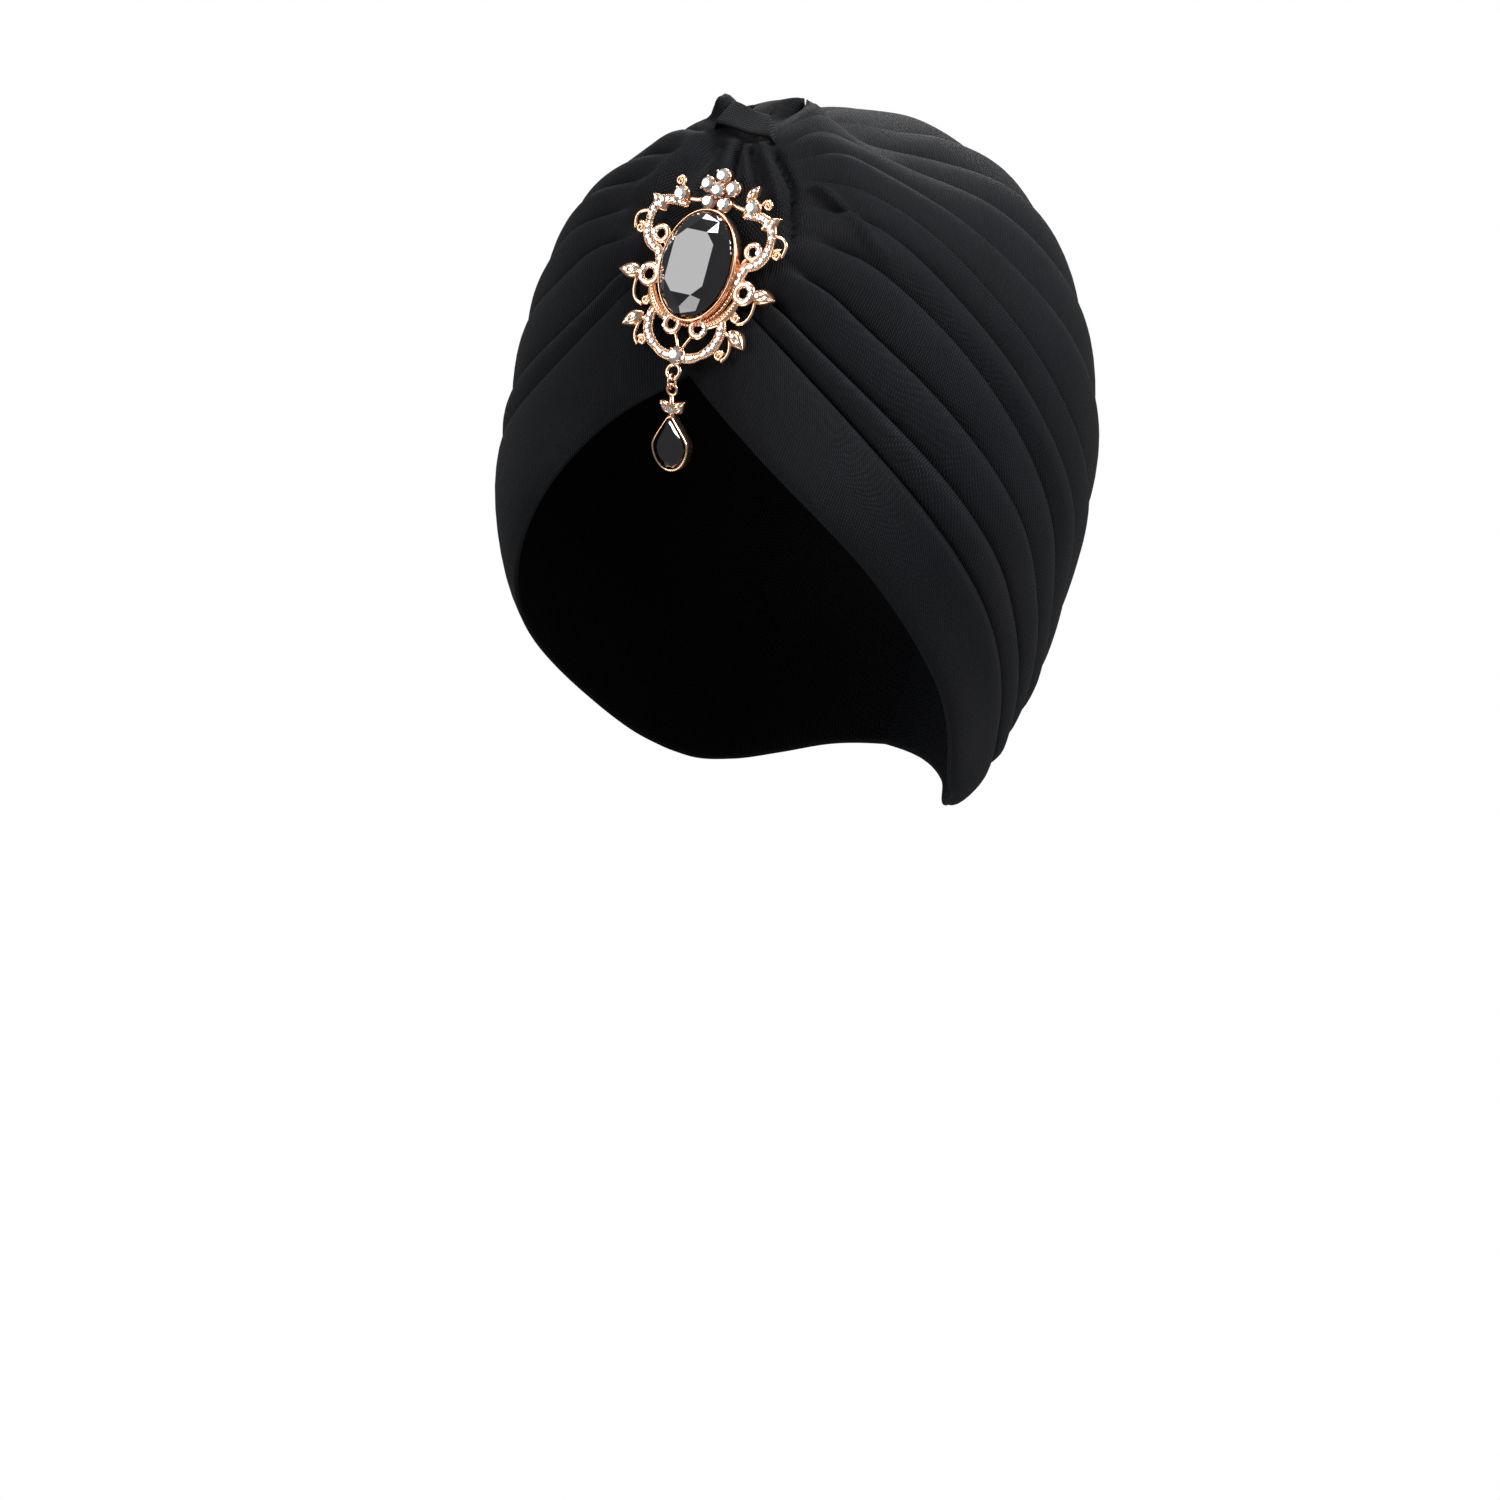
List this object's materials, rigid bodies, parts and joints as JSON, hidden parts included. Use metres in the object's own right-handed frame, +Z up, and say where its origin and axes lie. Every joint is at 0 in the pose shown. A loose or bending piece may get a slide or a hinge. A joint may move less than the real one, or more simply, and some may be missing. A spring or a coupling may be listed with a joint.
{
  "type": "turban cap",
  "caption": "Pleated knit turban cap in its worn form: folds fan from a gather strap over the crown, hem rising to a peak in front, oval jewelled brooch with a swinging pear drop.",
  "frame": {"origin": "where the top of the wearer's head touches the inside of the crown", "axes": "+Z up along the head, -Y out of the face, +X to the wearer's left"},
  "size_m": [0.1612, 0.1541, 0.2018],
  "materials": {
    "cloth": "fine ribbed jersey knit, soft sheen on the folds",
    "gold": "polished rose gold plating",
    "jet": "black cut glass, polished facets",
    "crystal": "clear foiled crystal, polished facets"
  },
  "bodies": {
    "cap": {"cap_shell": "cloth", "front_band": "cloth", "brooch_frame": "gold", "centre_stone": "jet", "flower_heart_stone": "crystal", "flower_petal_stone_1": "crystal", "flower_petal_stone_2": "crystal", "flower_petal_stone_3": "crystal", "flower_petal_stone_4": "crystal", "flower_petal_stone_5": "crystal", "side_stone_left": "crystal", "side_stone_right": "crystal", "foot_stone": "crystal"},
    "drop": {"drop_link": "gold", "drop_frame": "gold", "drop_stone": "jet"}
  },
  "joints": [
    {"name": "drop_swing", "type": "hinge", "parent": "cap", "child": "drop", "pos_m": [-0.00106, -0.05951, -0.05953], "axis": [-1, 0, 0], "range_deg": [-45, 150]}
  ]
}
